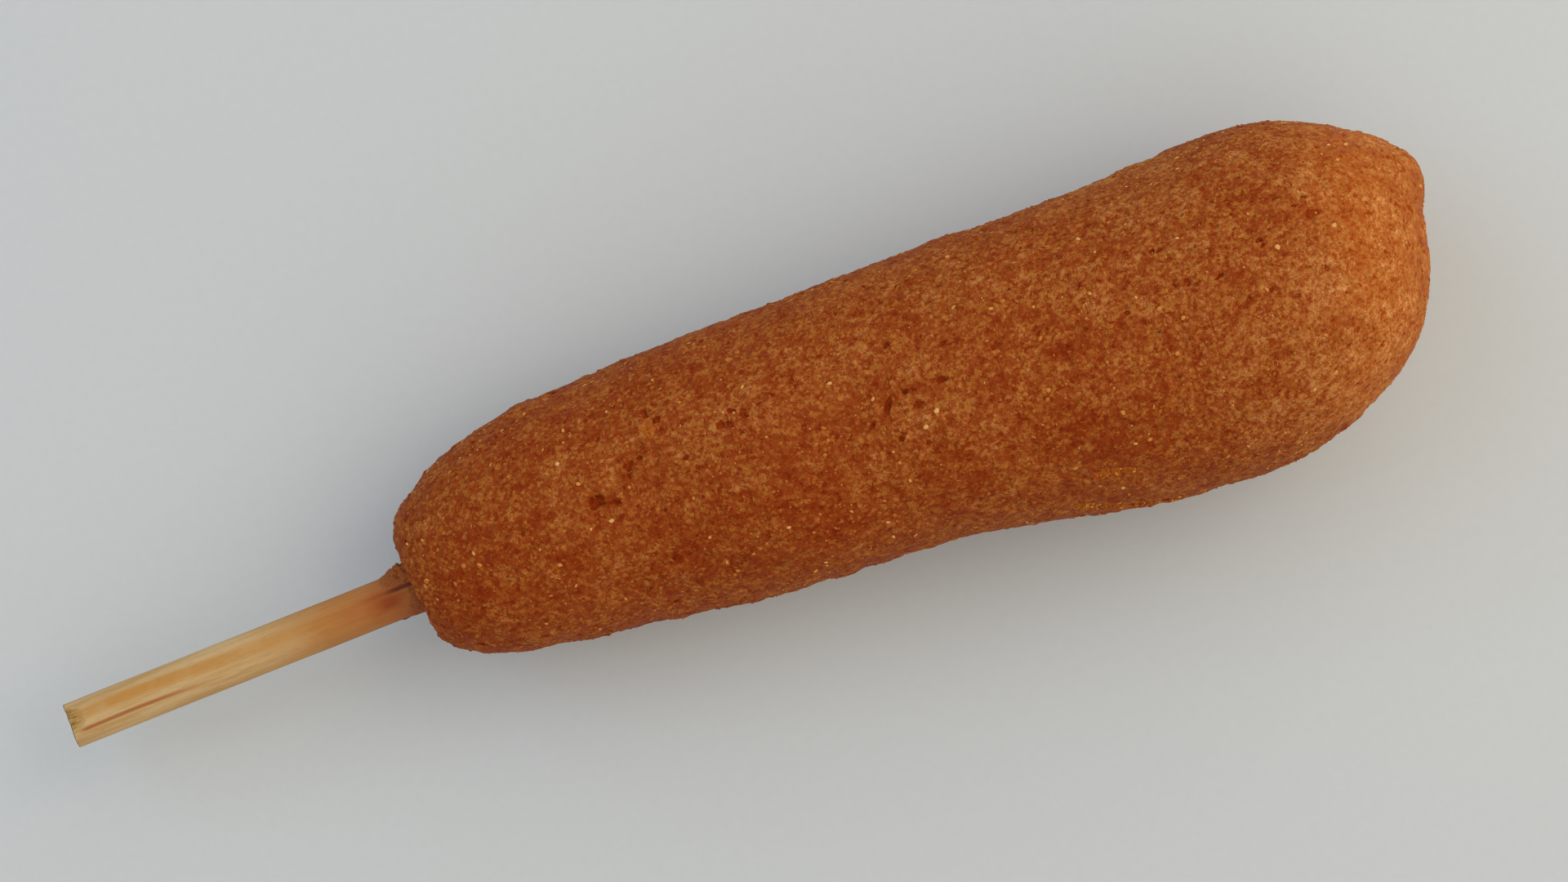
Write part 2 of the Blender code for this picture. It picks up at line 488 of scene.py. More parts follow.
@dataclass(frozen=True)
class StickLine:
    """The line that the round stick runs along, worked out once from its solid's box."""

    radius: float
    to_world: Matrix
    to_local: Matrix
    entry: float
    length: float

    @classmethod
    def measured(
        cls, rise: float = math.radians(3.0), entry: float = 44.3 * MM, length: float = 140 * MM
    ) -> "StickLine":
        """Finds the line.

        Args:
            rise: How steeply the stick climbs towards the food.
            entry: How far along the stick the batter's end face is.
            length: The stick's length.

        Returns:
            The line, whose own +X runs into the food from the middle of the saw-cut end.
        """
        low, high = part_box("stick")
        radius = (high.y - low.y) / 2
        free_end = Vector(
            (
                low.x + radius * math.sin(rise),
                (low.y + high.y) / 2,
                low.z + radius * math.cos(rise),
            )
        )
        to_world = Matrix.Translation(free_end) @ Matrix.Rotation(-rise, 4, "Y")
        return cls(radius, to_world, to_world.inverted(), entry, length)

    def clearance(self, point: Vector) -> float:
        """How far a point is from the stick's side or beyond its end, below zero inside it."""
        local = self.to_local @ point
        return max(math.hypot(local.y, local.z) - self.radius, local.x - self.length)

    def lip_side(self, angle: float) -> float:
        """How near a direction round the stick is to the side with the batter's lip."""
        return 0.5 + 0.5 * math.cos(angle - math.radians(12))

    def drawn_back(self, angle: float) -> float:
        """How far behind the end face the batter's edge lies in a direction round the stick."""
        bare = 1 - smooth_step(self.lip_side(angle), 0.62, 0.93)
        top = math.exp(-(((angle - math.radians(78)) / math.radians(42)) ** 2))
        return (0.9 * bare + 1.3 * top + 0.3 * (1 - bare)) * MM


STICK = StickLine.measured()


def new_piece(
    name: str, bm: bmesh.types.BMesh, material: bpy.types.Material
) -> bpy.types.Object:
    """Turns a finished bmesh into a piece that rides on the body.

    Args:
        name: The piece's name.
        bm: Its shape, in the frame's own coordinates. It is freed.
        material: Its finish.

    Returns:
        The new piece.
    """
    mesh = bpy.data.meshes.new(name)
    bm.to_mesh(mesh)
    bm.free()
    for polygon in mesh.polygons:
        polygon.use_smooth = True
    mesh.materials.append(material)
    piece = bpy.data.objects.new(name, mesh)
    bpy.context.scene.collection.objects.link(piece)
    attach(piece, BODY)
    return piece


def vertex_tree(bm: bmesh.types.BMesh) -> KDTree:
    """A tree that finds a mesh's vertices by their places."""
    tree = KDTree(len(bm.verts))
    for index, vertex in enumerate(bm.verts):
        tree.insert(vertex.co, index)
    tree.balance()
    return tree


def extruded_ring(
    bm: bmesh.types.BMesh, edges: list[bmesh.types.BMEdge]
) -> tuple[set[bmesh.types.BMVert], list[bmesh.types.BMEdge]]:
    """Extrudes a ring of edges, and leaves the new ring where the old one is.

    Args:
        bm: The mesh.
        edges: The ring.

    Returns:
        The new ring's vertices and its edges.
    """
    grown = bmesh.ops.extrude_edge_only(bm, edges=edges)["geom"]
    ring = {item for item in grown if isinstance(item, bmesh.types.BMVert)}
    sides = [
        item
        for item in grown
        if isinstance(item, bmesh.types.BMEdge) and all(v in ring for v in item.verts)
    ]
    return ring, sides


@dataclass(frozen=True)
class BurstBubbles:
    """A group of holes where bubbles burst in the frying batter, placed in plan.

    Sizes are in millimetres: along and across place the group's middle, reach_along and
    reach_across say how far it spreads, and size is how wide its holes are.
    """

    along: float
    across: float
    count: int = 1
    reach_along: float = 0.0
    reach_across: float = 0.0
    size: float = 0.8
    depth: float = 0.4
    stretch: float = 1.4
    angle: float = 0.0


@dataclass(frozen=True)
class Hole:
    """One hole in the crust."""

    centre: Vector
    outward: Vector
    long_axis: Vector
    radius: float
    depth: float
    stretch: float

    def reach(self) -> float:
        """How far from its centre the hole changes the skin."""
        return self.radius * self.stretch * 1.8

    def share(self, point: Vector) -> float:
        """How deep inside the hole a point is: 1 on its floor, 0 on its rim and outside."""
        offset = point - self.centre
        lengthwise = offset.dot(self.long_axis) / (self.radius * self.stretch)
        crosswise = offset.dot(self.outward.cross(self.long_axis)) / self.radius
        ragged = 0.45 * wobble(point, 0.7 * MM, 21) + 0.30 * wobble(point, 0.35 * MM, 22)
        return smooth_step(math.hypot(lengthwise, crosswise) + ragged, 1.0, 0.65)


@dataclass(frozen=True)
class Swell:
    """A place where the fried skin swells out or sinks in, in millimetres."""

    along: float
    across: float
    height: float
    reach: float
    amount: float

    def lift(self, point: Vector) -> float:
        """How far it moves the skin at a point, in millimetres."""
        run = point.x / MM - self.along
        if abs(run) > 3 * self.reach:
            return 0.0
        rise = 0.35 * (point.z / MM - self.height)
        offset = Vector((run, point.y / MM - self.across, rise))
        return self.amount * math.exp(-offset.length_squared / self.reach**2)


@dataclass(frozen=True)
class SkinPatch:
    """A ragged patch on top that is oilier, drier or more golden, placed in millimetres."""

    along: float
    across: float
    reach: float
    drier: float = 0.0
    golden: float = 0.0

    def share(self, point: Vector) -> float:
        """How much of the patch there is at a point."""
        run = point.x / MM - self.along
        if abs(run) > 2 * self.reach or point.z < 12 * MM:
            return 0.0
        offset = math.hypot(run, point.y / MM - self.across) / self.reach
        ragged = 0.45 * wobble(point, 0.9 * MM, 41) + 0.25 * wobble(point, 0.45 * MM, 42)
        return smooth_step(offset + ragged, 1.2, 0.7)


@dataclass(frozen=True)
class TornSeam:
    """A ragged tear in the skin, with golden flakes of batter in it, in millimetres."""

    path: tuple[Vector, ...]
    half_width: float
    depth: float

    def share(self, point: Vector) -> float:
        """How far inside the tear a point is: 1 on its floor and 0 outside."""
        place = point / MM
        if not self.path[0].x - 3 < place.x < self.path[-1].x + 3:
            return 0.0
        off = min(
            (place - self._nearest(place, start, end)).length
            for start, end in zip(self.path, self.path[1:])
        )
        if off > 2.2 * self.half_width:
            return 0.0
        ragged = 0.55 * wobble(point, 1.0 * MM, 51) + 0.35 * wobble(point, 0.45 * MM, 52)
        return smooth_step(off / self.half_width + ragged, 1.25, 0.55)

    def _nearest(self, place: Vector, start: Vector, end: Vector) -> Vector:
        """The point of one stretch of the tear that is nearest to a place."""
        run = end - start
        return start + run * min(1.0, max(0.0, (place - start).dot(run) / run.length_squared))


@dataclass
class BatterCrust:
    """The fried batter, with the lip that has crept along the stick."""

    finish: CrustFinish
    bubbles: tuple[BurstBubbles, ...] = (
        BurstBubbles(-7, 11.5, 5, 1.3, 1.8, 0.9, 0.45),
        BurstBubbles(2.5, 9, 6, 2.8, 0.7, 0.8, 0.40, 1.6, -8),
        BurstBubbles(-0.5, 8.5, 1, size=1.0, depth=0.35),
        BurstBubbles(-11.5, 7.5, 3, 0.8, 0.9, 0.8, 0.40),
        BurstBubbles(-10.5, 8.5, 1, size=0.7),
        BurstBubbles(-5.5, 6.5, 1, size=0.7),
        BurstBubbles(-17, 5.5, 1, size=1.5, depth=0.65, stretch=1.7, angle=20),
        BurstBubbles(-15, 4.5, 2, 1.0, 0.4, 0.5, 0.40, 2.5, -25),
        BurstBubbles(-14, 12.5, 3, 2.2, 0.3, 0.3, 0.35, 4.0, 20),
        BurstBubbles(24.5, 4, 1, size=1.0, depth=0.45),
        BurstBubbles(27, 8, 2, 0.8, 0.5, 0.6),
        BurstBubbles(31, 6, 2, 1.2, 0.9, 0.7),
        BurstBubbles(21, 4.5, 3, 1.2, 0.4, 0.7),
        BurstBubbles(18, 3.5, 1, size=1.1, depth=0.45, stretch=1.7, angle=60),
        BurstBubbles(15.5, 2, 1, size=0.6),
        BurstBubbles(18, -0.5, 1, size=0.7),
        BurstBubbles(21, 2, 2, 0.8, 0.6, 0.6),
        BurstBubbles(37, 4.5, 3, 0.8, 0.6, 0.6, 0.30),
        BurstBubbles(20.5, 10, 1, size=0.8),
        BurstBubbles(70, 6, 1, size=1.3, depth=0.40),
        BurstBubbles(69, 8, 2, 1.3, 0.6, 0.6),
        BurstBubbles(63, 5, 2, 0.9, 0.6, 0.7),
        BurstBubbles(58, 3.5, 2, 0.9, 0.5, 0.6),
        BurstBubbles(52, 8.5, 2, 0.7, 0.4, 0.7),
        BurstBubbles(50.5, 4, 6, 4.2, 0.7, 0.6, 0.30, 1.8, -10),
        BurstBubbles(80.5, 2.5, 2, 0.8, 1.6, 0.5, 0.25),
        BurstBubbles(70, -6, 2, 0.8, 2.4, 0.5, 0.25),
        BurstBubbles(72, -10.5, 2, 1.8, 0.5, 0.5, 0.25),
    )
    swells: tuple[Swell, ...] = (
        Swell(80.5, 14, 21, 3.4, -0.45),
        Swell(84.5, 10.5, 20.5, 1.8, -0.35),
        Swell(75.5, 16.5, 21, 2.0, -0.22),
        Swell(85.5, 7.5, 21, 3.0, 0.40),
        Swell(85.5, 1, 22, 2.6, -0.70),
        Swell(84, -2, 22.5, 1.6, -0.25),
        Swell(79.5, -10.5, 22.5, 5.5, 0.28),
        Swell(71, -17.5, 22, 3.4, -0.50),
        Swell(65.5, -19.5, 22, 2.6, -0.38),
        Swell(54.5, 19, 19.5, 2.4, 0.28),
        Swell(51.5, -20, 18.5, 1.8, -0.25),
        Swell(40.5, -18.5, 18, 1.4, -0.25),
        Swell(31, 19.5, 18.5, 2.8, 0.32),
        Swell(21, -14.5, 18, 4.2, -0.30),
        Swell(13.5, -14, 18, 2.2, -0.26),
        Swell(9.5, -13.5, 17.5, 1.5, -0.32),
        Swell(4, -13, 18, 1.4, -0.42),
        Swell(-5, -12, 16.5, 1.2, 0.25),
        Swell(-13.5, -10.5, 15, 1.6, 0.32),
        Swell(-28, -8.5, 15, 2.2, -0.45),
        Swell(-11, 20, 15.5, 6.0, 0.26),
        Swell(-22, 19.5, 15.5, 1.6, 0.24),
        Swell(-37.5, 15, 14.5, 2.2, -0.30),
    )
    patches: tuple[SkinPatch, ...] = (
        SkinPatch(24, 11.5, 1.3, drier=-0.22),
        SkinPatch(29.5, 10.5, 1.0, drier=-0.18),
        SkinPatch(31, 1, 1.6, drier=-0.20),
        SkinPatch(38, 2, 1.3, drier=-0.20),
        SkinPatch(-8.5, 11, 0.9, golden=0.45),
        SkinPatch(2, 11, 4.5, drier=0.10),
        SkinPatch(21, 3, 4.0, drier=0.10),
        SkinPatch(39, 1, 4.5, drier=-0.10),
        SkinPatch(39, -10, 4.5, drier=-0.12),
        SkinPatch(21, -7, 4.5, drier=-0.14),
        SkinPatch(57, -6, 4.0, drier=0.06),
        SkinPatch(68, 0, 4.0, drier=0.10),
        SkinPatch(77, 12, 3.0, drier=-0.14),
        SkinPatch(-34, 5, 4.0, drier=-0.10),
        SkinPatch(2, -5, 6.5, drier=-0.10),
        SkinPatch(-8, -1, 5.5, drier=-0.09),
        SkinPatch(-36, 1, 4.0, drier=-0.10),
        SkinPatch(34, -5, 5.0, drier=-0.07),
        SkinPatch(62, -14, 5.0, drier=0.14),
        SkinPatch(54, 17, 6.5, drier=0.14),
        SkinPatch(66, -6, 6.5, drier=0.06),
        SkinPatch(66, 15, 3.5, drier=0.06),
        SkinPatch(9, -4, 4.0, drier=-0.07),
    )
    seams: tuple[TornSeam, ...] = (
        TornSeam(
            (
                Vector((35, -16, 25)),
                Vector((37.5, -17, 24)),
                Vector((40.5, -18, 22.5)),
                Vector((46.5, -19, 21)),
            ),
            0.95,
            0.50,
        ),
        TornSeam(
            (Vector((37.5, -12.5, 30.5)), Vector((40, -13, 31)), Vector((42.5, -14, 30.5))),
            0.45,
            0.30,
        ),
    )
    hidden_bubbles: int = 60
    cell: float = 0.49 * MM
    smoothing_rounds: int = 4
    snug: float = 0.03 * MM
    cut_clear: float = 0.12 * MM
    well_above: float = 0.2
    hole_depth: float = 0.85
    seed: int = 11

    def build(self) -> bpy.types.Object:
        """Makes the crust and hides the solid that it stands for."""
        bm = self._evened(self._body())
        holes = self._holes(bm)
        self._shape_mouth(bm)
        self._refine(bm, holes)
        self._cut_socket(bm)
        self._roughen(bm, holes)
        bmesh.ops.triangulate(bm, faces=[face for face in bm.faces if len(face.verts) > 4])
        piece = new_piece("crust", bm, self.finish.build())
        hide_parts("batter")
        return piece

    def _body(self) -> bmesh.types.BMesh:
        """A welded copy of the batter's solid, with its socket filled."""
        bm = bmesh.new()
        bm.from_mesh(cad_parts["batter"].data)
        bmesh.ops.remove_doubles(bm, verts=bm.verts, dist=0.001 * MM)
        plug_start, plug_end = STICK.entry + 0.5 * MM, STICK.length + 0.5 * MM
        bmesh.ops.create_cone(
            bm,
            cap_ends=True,
            segments=32,
            radius1=STICK.radius + 0.6 * MM,
            radius2=STICK.radius + 0.6 * MM,
            depth=plug_end - plug_start,
            matrix=STICK.to_world
            @ Matrix.Translation(((plug_start + plug_end) / 2, 0, 0))
            @ Matrix.Rotation(math.radians(90), 4, "Y"),
        )
        return bm

    def _evened(self, bm: bmesh.types.BMesh) -> bmesh.types.BMesh:
        """Fuses the shells into one skin of even small faces.

        Args:
            bm: The closed shells. It is freed.

        Returns:
            The smoothed skin.
        """
        mesh = bpy.data.meshes.new("crust_shells")
        bm.to_mesh(mesh)
        bm.free()
        holder = bpy.data.objects.new("crust_shells", mesh)
        bpy.context.scene.collection.objects.link(holder)
        remesh = holder.modifiers.new("Even", "REMESH")
        remesh.mode = "VOXEL"
        remesh.voxel_size = self.cell
        graph = bpy.context.evaluated_depsgraph_get()
        evened = bmesh.new()
        evened.from_mesh(holder.evaluated_get(graph).to_mesh())
        bpy.data.objects.remove(holder)
        for _ in range(self.smoothing_rounds):
            bmesh.ops.smooth_vert(
                evened,
                verts=evened.verts,
                factor=0.5,
                use_axis_x=True,
                use_axis_y=True,
                use_axis_z=True,
            )
        return evened

    def _holes(self, bm: bmesh.types.BMesh) -> list[Hole]:
        """Sets every burst bubble on the skin.

        Args:
            bm: The smooth skin.

        Returns:
            The holes, those of the named groups first.
        """
        rng = random.Random(self.seed)
        skin = BVHTree.FromBMesh(bm)
        holes = []
        for group in self.bubbles:
            alone = group.count == 1
            for index in range(group.count):
                drift = Vector((0, 0) if alone else (rng.uniform(-1, 1), rng.uniform(-1, 1)))
                along = group.along + drift.x * group.reach_along
                across = group.across + drift.y * group.reach_across
                start = Vector((along * MM, across * MM, self.well_above))
                hit, outward, _, _ = skin.ray_cast(start, DOWN)
                shrink = 1.0 if index == 0 else rng.uniform(0.45, 0.9)
                angle = math.radians(group.angle + rng.gauss(0, 5 if alone else 25))
                holes.append(self._hole(hit, outward, angle, group, shrink))
        plain = BurstBubbles(0, 0, size=0.6, depth=0.3)
        faces = bm.faces
        faces.ensure_lookup_table()
        while len(holes) < self.hidden_bubbles + sum(group.count for group in self.bubbles):
            face = faces[rng.randrange(len(faces))]
            centre = face.calc_center_median()
            if face.normal.z > 0.5 or STICK.clearance(centre) < 4 * MM or centre.z < 1 * MM:
                continue
            size = rng.uniform(0.5, 1.7) ** 1.5
            holes.append(self._hole(centre, face.normal, rng.uniform(0, math.pi), plain, size))
        return holes

    def _hole(
        self, centre: Vector, outward: Vector, angle: float, group: BurstBubbles, shrink: float
    ) -> Hole:
        """Makes one hole of a group.

        Args:
            centre: Its place on the skin.
            outward: The skin's direction there.
            angle: How its length is turned.
            group: The group whose sizes it has.
            shrink: How much smaller than the group's size it is.

        Returns:
            The hole.
        """
        heading = Vector((math.cos(angle), math.sin(angle), 0.05))
        long_axis = (heading - outward * heading.dot(outward)).normalized()
        radius = group.size * shrink / 2 * MM
        depth = self.hole_depth * group.depth * shrink * MM
        return Hole(centre.copy(), outward.copy(), long_axis, radius, depth, group.stretch)

    def _shape_mouth(self, bm: bmesh.types.BMesh) -> None:
        """Draws the batter back on the stick's top, and thins its lip to a film.

        Only the +Y side keeps a thick lip. On top the batter's edge lies deepest.
        """
        for vertex in bm.verts:
            local = STICK.to_local @ vertex.co
            gap = math.hypot(local.y, local.z) - STICK.radius
            inward = local.x - STICK.entry
            if gap > 5 * MM or inward > 6 * MM:
                continue
            angle = math.atan2(local.z, local.y)
            lip_side = STICK.lip_side(angle)
            bare = 1 - smooth_step(lip_side, 0.62, 0.93)
            close = smooth_step(gap, 4.8 * MM, 1.2 * MM)
            front = smooth_step(inward, 5.5 * MM, 0.3 * MM)
            drawn_back = STICK.drawn_back(angle) * close * front
            drawn_back -= 0.4 * MM * (1 - bare) * smooth_step(inward, -1.2 * MM, -2.8 * MM)
            notch = smooth_step(abs(inward + 0.1 * MM), 0.7 * MM, 0.0)
            film = 0.66 + 0.35 * wobble(vertex.co, 0.9 * MM, 31) - 0.15 * notch
            film *= 0.03 + 0.97 * smooth_step(inward, -2.2 * MM, -1.0 * MM)
            film *= (0.25 + 0.75 * smooth_step(lip_side, 0.70, 0.97)) * MM
            thickest = film + (gap - film) * smooth_step(inward, 0.0, 1.4 * MM)
            if thickest < gap < 3 * MM:
                gap = thickest
            thinned = 1 - 0.55 * bare * smooth_step(inward, 1.0 * MM, -0.3 * MM)
            radius = STICK.radius + gap * (thinned if gap > 0 else 1)
            vertex.co = STICK.to_world @ Vector(
                (local.x + drawn_back, radius * math.cos(angle), radius * math.sin(angle))
            )

    def _refine(self, bm: bmesh.types.BMesh, holes: list[Hole]) -> None:
        """Makes the skin's faces smaller round the holes, the mouth and the torn seam."""
        tree = vertex_tree(bm)
        near = set()
        for hole in holes:
            near.update(index for _, index, _ in tree.find_range(hole.centre, hole.reach()))
        for seam in self.seams:
            for start, end in zip(seam.path, seam.path[1:]):
                for part in range(8):
                    middle = start.lerp(end, part / 7) * MM
                    found = tree.find_range(middle, 2.0 * seam.half_width * MM)
                    near.update(index for _, index, _ in found)
        bm.verts.ensure_lookup_table()
        chosen = {bm.verts[index] for index in near}
        edges = [edge for edge in bm.edges if all(vertex in chosen for vertex in edge.verts)]
        bmesh.ops.subdivide_edges(bm, edges=edges, cuts=2, use_grid_fill=True)
        mouth = {
            vertex
            for vertex in bm.verts
            if STICK.clearance(vertex.co) < 2.2 * MM
            and (STICK.to_local @ vertex.co).x < STICK.entry + 3 * MM
        }
        edges = [edge for edge in bm.edges if all(vertex in mouth for vertex in edge.verts)]
        bmesh.ops.subdivide_edges(bm, edges=edges, cuts=1, use_grid_fill=True)

    def _cut_socket(self, bm: bmesh.types.BMesh) -> None:
        """Opens the snug blind hole that the stick fills."""
        radius = STICK.radius
        inside = [
            vertex
            for vertex in bm.verts
            if STICK.clearance(vertex.co) < self.cut_clear
            and (STICK.to_local @ vertex.co).x < STICK.entry + 5 * MM
        ]
        bmesh.ops.delete(bm, geom=inside, context="VERTS")
        rim = self._clean_rim(bm)
        for vertex in {vertex for edge in rim for vertex in edge.verts}:
            local = STICK.to_local @ vertex.co
            scale = (radius - self.snug) / math.hypot(local.y, local.z)
            vertex.co = STICK.to_world @ Vector((local.x, local.y * scale, local.z * scale))
        for depth in (STICK.entry + 8 * MM, STICK.length + 0.3 * MM):
            rim = extruded_ring(bm, rim)[1]
            self._lay_ring(rim, depth)
        bmesh.ops.contextual_create(bm, geom=rim)
        bmesh.ops.recalc_face_normals(bm, faces=bm.faces)

    def _clean_rim(self, bm: bmesh.types.BMesh) -> list[bmesh.types.BMEdge]:
        """Cuts away pinched corners, shuts stray slits, and gives the hole's one rim."""
        while True:
            rim = [edge for edge in bm.edges if edge.is_boundary]
            ends = Counter(vertex for edge in rim for vertex in edge.verts)
            pinched = [vertex for vertex, count in ends.items() if count > 2]
            if not pinched:
                break
            bmesh.ops.delete(bm, geom=pinched, context="VERTS")
        left = set(rim)
        loops = []
        for first in rim:
            if first not in left:
                continue
            left.remove(first)
            loop = [first]
            for edge in loop:
                for near in (near for vertex in edge.verts for near in vertex.link_edges):
                    if near in left:
                        left.remove(near)
                        loop.append(near)
            loops.append(loop)
        loops.sort(key=len)
        slits = [edge for loop in loops[:-1] for edge in loop]
        if slits:
            bmesh.ops.holes_fill(bm, edges=slits, sides=0)
        return loops[-1]

    def _lay_ring(self, rim: list[bmesh.types.BMEdge], depth: float) -> None:
        """Lays an extruded rim as an even ring, so that the hole's wall has no folds.

        Args:
            rim: The ring's edges.
            depth: Where the ring lies along the stick.
        """
        members = set(rim)
        vertex = min(
            (vertex for edge in rim for vertex in edge.verts),
            key=lambda vertex: (STICK.to_local @ vertex.co).y,
        )
        edge = next(edge for edge in vertex.link_edges if edge in members)
        order, angles = [], []
        for _ in rim:
            local = STICK.to_local @ vertex.co
            angle = math.atan2(local.z, local.y)
            if angles:
                angle = angles[-1] + math.remainder(angle - angles[-1], math.tau)
            order.append(vertex)
            angles.append(angle)
            vertex = edge.other_vert(vertex)
            edge = next(near for near in vertex.link_edges if near in members and near != edge)
        turn = math.copysign(math.tau, angles[-1] - angles[0])
        angles.sort(reverse=turn < 0)
        radius = STICK.radius - self.snug
        for index, (vertex, angle) in enumerate(zip(order, angles)):
            even = (angle + angles[0] + turn * index / len(order)) / 2
            place = Vector((depth, radius * math.cos(even), radius * math.sin(even)))
            vertex.co = STICK.to_world @ place

    def _dryness(self, point: Vector) -> float:
        """How much of the dry tan lace lies here, round one half."""
        share = (point.x - CAD_BOX[0].x) / (CAD_BOX[1].x - CAD_BOX[0].x)
        return (
            0.46
            + 0.06 * smooth_step(share, 0.4, 0.75)
            + 0.08 * wobble(point, 9.0 * MM, 1)
            + 0.09 * wobble(point, 3.6 * MM, 2)
            + 0.08 * wobble(point, 1.8 * MM, 3)
        )

    def _roughen(self, bm: bmesh.types.BMesh, holes: list[Hole]) -> None:
        """Gives the skin its relief and holes, and marks it for the finish."""
        marks = {
            name: bm.verts.layers.float.new(name)
            for name in ("dryness", "tip", "pit", "golden", "torn")
        }
        far_end = CAD_BOX[1].x
        bm.normal_update()
        outward = {vertex: vertex.normal.copy() for vertex in bm.verts}
        for vertex in bm.verts:
            point = vertex.co.copy()
            gap = STICK.clearance(point)
            dry = self._dryness(point)
            vertex[marks["dryness"]] = dry
            vertex[marks["tip"]] = smooth_step(
                point.x - 0.25 * point.y + 2.5 * MM * wobble(point, 8 * MM, 5),
                far_end - 23 * MM,
                far_end - 10 * MM,
            )
            torn = max((seam.share(point), seam.depth) for seam in self.seams)
            film = smooth_step(gap, 1.6 * MM, 0.6 * MM)
            film *= smooth_step((STICK.to_local @ point).x, STICK.entry + 0.6 * MM, STICK.entry)
            vertex[marks["dryness"]] += 0.16 * film
            vertex[marks["torn"]] = vertex[marks["golden"]] = torn[0]
            for patch in self.patches:
                share = patch.share(point)
                vertex[marks["dryness"]] += patch.drier * share
                vertex[marks["golden"]] += patch.golden * share
            height = (
                0.12 * (dry - 0.5)
                + 0.18 * wobble(point, 0.75 * MM, 9)
                + 0.18 * wobble(point, 1.2 * MM, 6)
                + 0.08 * wobble(point, 2.8 * MM, 7)
                + 0.06 * wobble(point, 6.5 * MM, 8)
                + sum(swell.lift(point) for swell in self.swells)
                - torn[0] * torn[1]
            )
            clear = smooth_step(gap, 0.0, 0.8 * MM)
            vertex.co = point + outward[vertex] * (height * MM * clear)
            vertex.co.z = max(vertex.co.z, 0.0)
        tree = vertex_tree(bm)
        bm.verts.ensure_lookup_table()
        for hole in holes:
            for _, index, _ in tree.find_range(hole.centre, hole.reach()):
                vertex = bm.verts[index]
                share = hole.share(vertex.co)
                if share > vertex[marks["pit"]]:
                    vertex.co -= hole.outward * hole.depth * (share - vertex[marks["pit"]])
                    vertex[marks["pit"]] = share


class LumpForm(Enum):
    """How many faces a scattered lump is made with, and whether it is chipped or rounded."""

    CHIP = "chip"
    NUGGET = "nugget"


